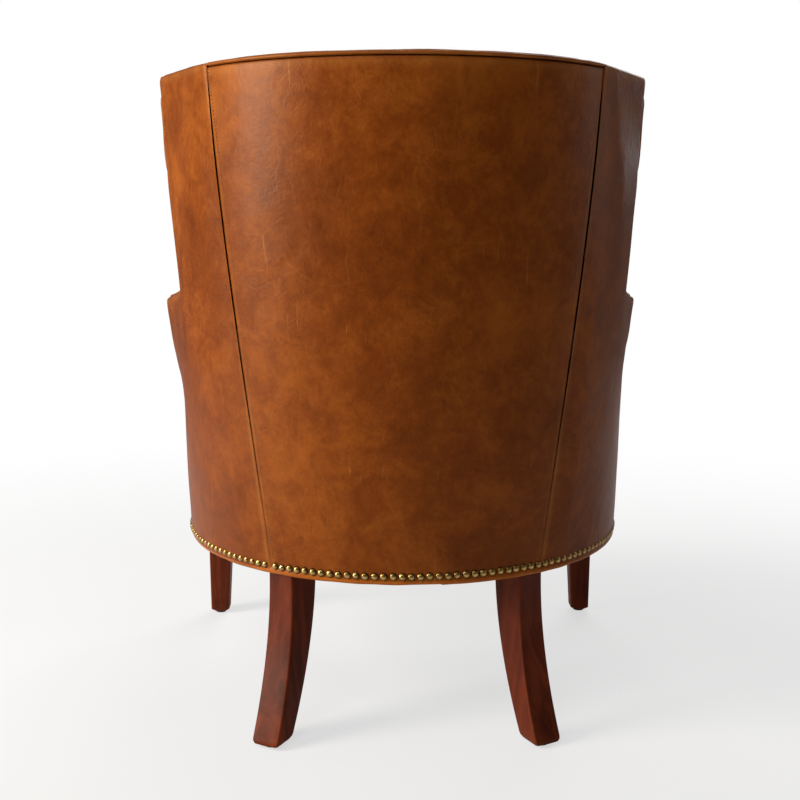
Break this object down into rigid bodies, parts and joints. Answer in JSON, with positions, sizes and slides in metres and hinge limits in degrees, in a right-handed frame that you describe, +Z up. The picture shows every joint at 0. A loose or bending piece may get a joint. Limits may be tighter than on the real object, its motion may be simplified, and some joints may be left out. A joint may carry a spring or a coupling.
{
  "type": "upholstered armchair",
  "caption": "Barrel-backed wing armchair in aged leather over a wooden frame, with a nail-trimmed base, a loose zipped seat cushion, sabre back legs and tapered front legs.",
  "frame": {"origin": "on the floor, at the middle of the chair's bounding box", "axes": "+Z up, +Y towards the back of the chair, the seat faces -Y, +X is the sitter's left"},
  "size_m": [0.9086, 0.7294, 1.05],
  "materials": {
    "leather": "aged pull-up leather, cognac, satin",
    "leather_edge": "turned leather edge, tan, satin",
    "leg_wood": "mahogany stain, satin lacquer",
    "frame_wood": "bare hardwood, sawn",
    "foam": "upholstery foam, matt",
    "felt": "felt lining, matt",
    "webbing": "woven jute, matt",
    "black_cloth": "lining cloth, matt",
    "antique_brass": "antiqued brass, domed, worn bright on top",
    "brass": "brushed brass",
    "zinc_steel": "zinc plated",
    "spring_steel": "oiled spring wire",
    "glide_plastic": "matt",
    "zip_tape": "woven tape with coil teeth"
  },
  "bodies": {
    "chair": {"back_foam": "foam", "back_leg_left": "leg_wood", "back_leg_right": "leg_wood", "back_rail": "frame_wood", "back_webbing": "webbing", "base_band": "leather_edge", "corner_block_screws": "zinc_steel", "corner_blocks": "frame_wood", "crest_rail": "frame_wood", "deck_cover": "black_cloth", "deck_insulator": "felt", "deck_pad": "foam", "dust_cover": "black_cloth", "foot_glides": "glide_plastic", "front_border": "leather", "front_leg_left": "leg_wood", "front_leg_right": "leg_wood", "front_rail": "frame_wood", "inside_back_cover": "leather", "left_arm_foam": "foam", "left_arm_post": "frame_wood", "left_arm_rail": "frame_wood", "left_back_post": "frame_wood", "left_inside_arm_cover": "leather", "left_inside_wing_cover": "leather", "left_outside_felt": "felt", "left_outside_panel": "leather", "left_side_rail": "frame_wood", "left_wing_foam": "foam", "left_wing_post": "frame_wood", "left_wing_top_rail": "frame_wood", "leg_bolts": "zinc_steel", "leg_nuts": "zinc_steel", "lower_back_rail": "frame_wood", "nailheads": "antique_brass", "outside_back_felt": "felt", "outside_back_panel": "leather", "rail_dowels": "frame_wood", "right_arm_foam": "foam", "right_arm_post": "frame_wood", "right_arm_rail": "frame_wood", "right_back_post": "frame_wood", "right_inside_arm_cover": "leather", "right_inside_wing_cover": "leather", "right_outside_felt": "felt", "right_outside_panel": "leather", "right_side_rail": "frame_wood", "right_wing_foam": "foam", "right_wing_post": "frame_wood", "right_wing_top_rail": "frame_wood", "seat_springs": "spring_steel", "spring_clips": "zinc_steel", "spring_ties": "spring_steel", "top_roll": "leather"},
    "cushion": {"seat_cushion_cover": "leather", "seat_cushion_core": "foam", "cushion_top_welt": "leather", "cushion_bottom_welt": "leather", "cushion_zip": "zip_tape"},
    "zip_slider": {"zip_slider": "brass"}
  },
  "joints": [
    {"name": "cushion_lift", "type": "slide", "parent": "chair", "child": "cushion", "axis": [0, -0.42, 0.9075], "range_m": [0, 0.45]},
    {"name": "zip_slide", "type": "hinge", "parent": "cushion", "child": "zip_slider", "pos_m": [0, -0.0671, 0.4173], "axis": [0, 0, 1], "range_deg": [0, 95]}
  ]
}
